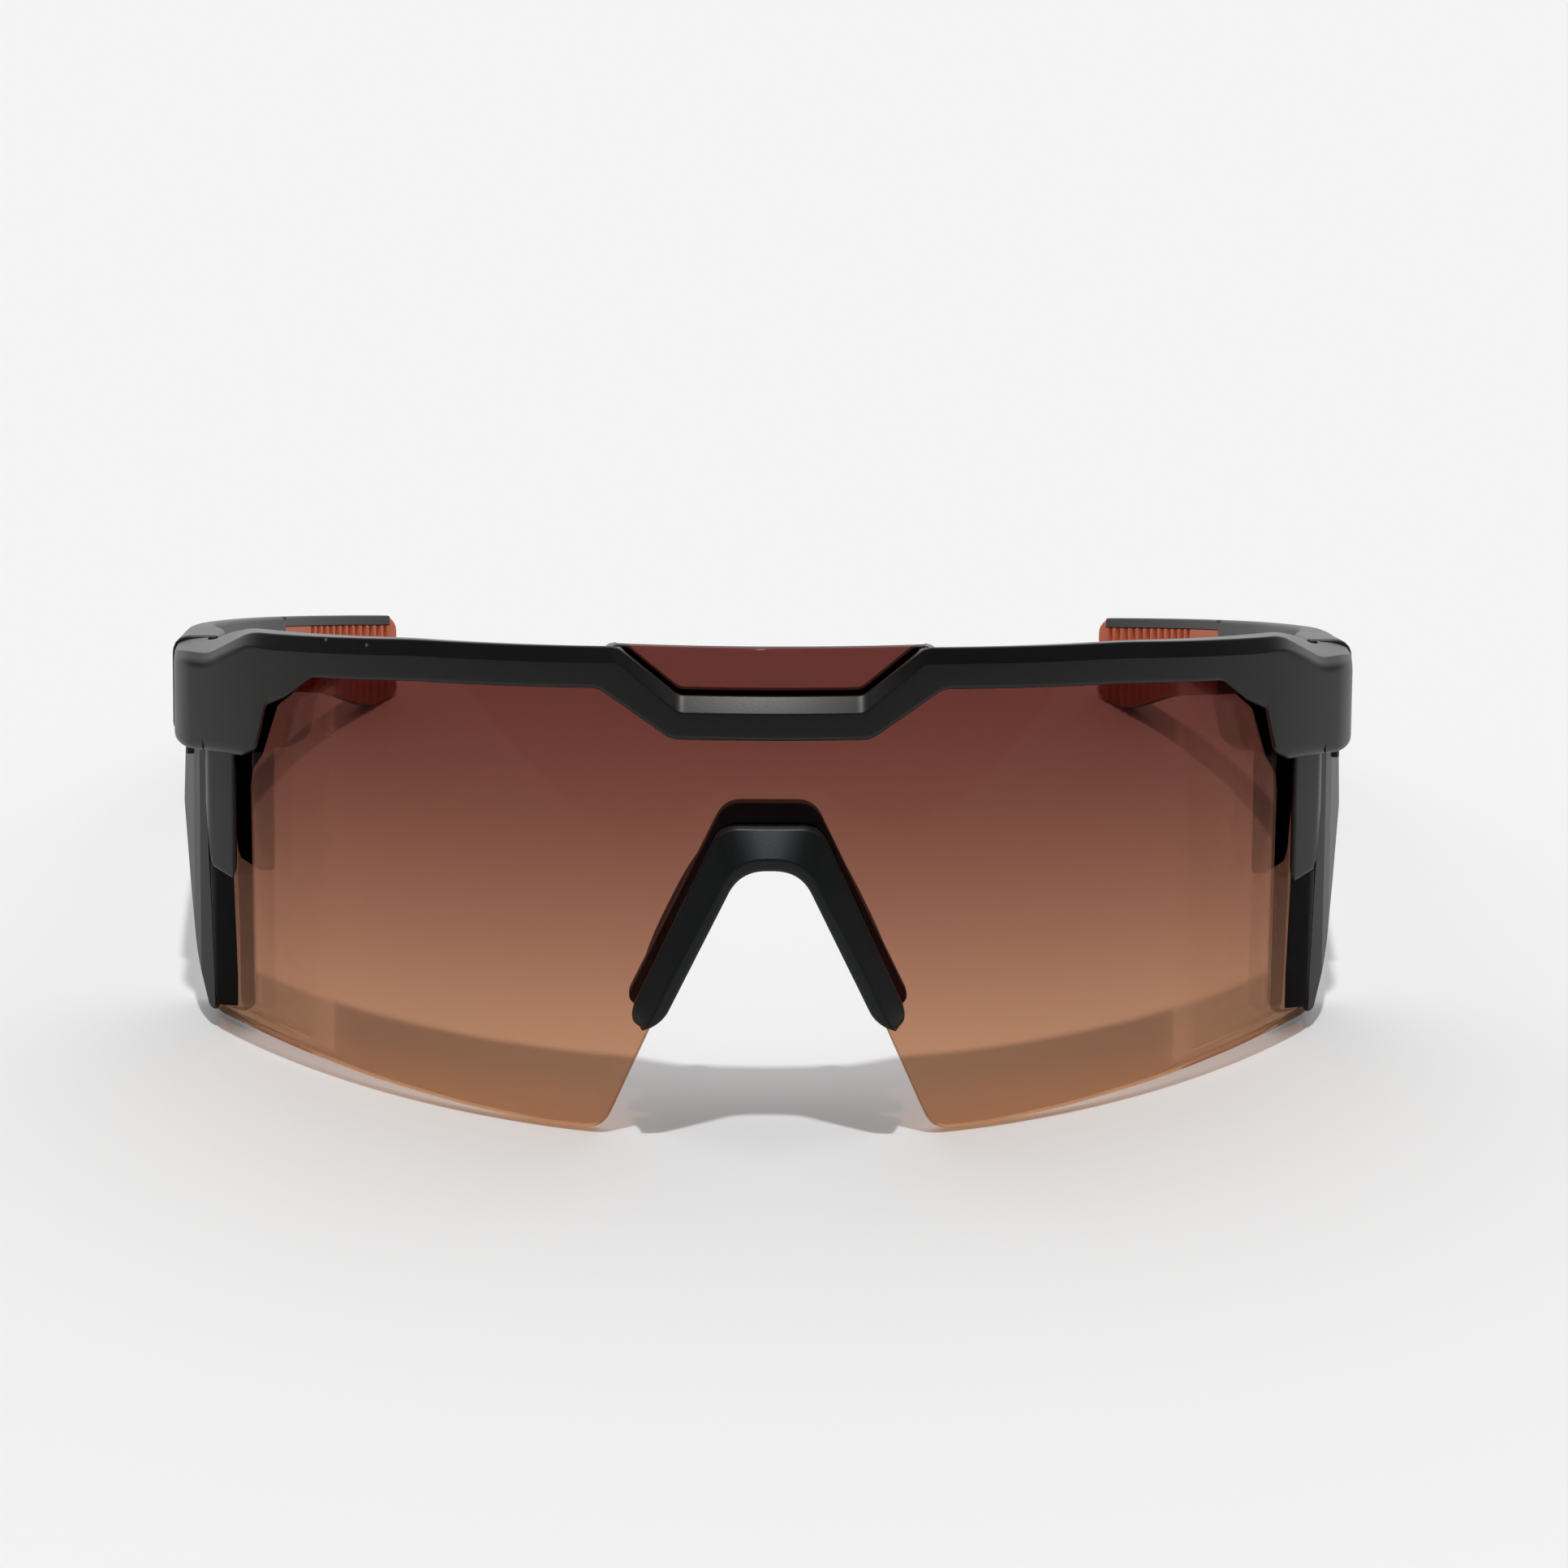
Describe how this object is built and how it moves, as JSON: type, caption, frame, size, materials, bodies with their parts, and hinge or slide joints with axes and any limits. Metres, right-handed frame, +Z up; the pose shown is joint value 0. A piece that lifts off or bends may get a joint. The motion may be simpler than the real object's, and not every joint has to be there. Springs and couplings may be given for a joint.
{
  "type": "wraparound sport sunglasses",
  "caption": "Wraparound sport sunglasses: one curved tinted shield lens under a stepped brow bar, clip-in nose arch with pads, and two folding temples with ribbed rubber grips.",
  "frame": {"origin": "middle of the footprint, on the surface that the lens edge and the temple tips stand on", "axes": "+Z up, -Y the way the lens faces, +X the wearer's left"},
  "size_m": [0.149, 0.1542, 0.0598],
  "materials": {
    "frame_black": "satin moulded nylon, near black",
    "temple_black": "satin moulded nylon, near black",
    "clip_black": "fine-grained matte nylon",
    "lens_tint": "polished polycarbonate, brown tint fading to amber at the bottom",
    "pad_rubber": "soft matte rubber",
    "grip_rubber": "matte orange rubber, ribbed",
    "hinge_steel": "small stainless hinge parts"
  },
  "bodies": {
    "front": {"brow_frame": "frame_black", "lens": "lens_tint", "nose_clip": "clip_black", "nose_pad": "pad_rubber", "side_carrier_left": "frame_black", "side_carrier_right": "frame_black", "hinge_frame_leaf_left": "hinge_steel", "hinge_frame_leaf_right": "hinge_steel", "frame_leaf_screws_left": "hinge_steel", "frame_leaf_screws_right": "hinge_steel", "hinge_pin_left": "hinge_steel", "hinge_pin_right": "hinge_steel"},
    "temple_left": {"temple_arm_left": "temple_black", "temple_grip_left": "grip_rubber", "hinge_temple_leaf_left": "hinge_steel", "temple_leaf_screws_left": "hinge_steel", "core_wire_left": "hinge_steel"},
    "temple_right": {"temple_arm_right": "temple_black", "temple_grip_right": "grip_rubber", "hinge_temple_leaf_right": "hinge_steel", "temple_leaf_screws_right": "hinge_steel", "core_wire_right": "hinge_steel"}
  },
  "joints": [
    {"name": "temple_fold_left", "type": "hinge", "parent": "front", "child": "temple_left", "pos_m": [0.0686, -0.02264, 0.03919], "axis": [0, 0.1908, 0.9816], "range_deg": [0, 95]},
    {"name": "temple_fold_right", "type": "hinge", "parent": "front", "child": "temple_right", "pos_m": [-0.0686, -0.02264, 0.03919], "axis": [0, -0.1908, -0.9816], "range_deg": [0, 76]}
  ]
}
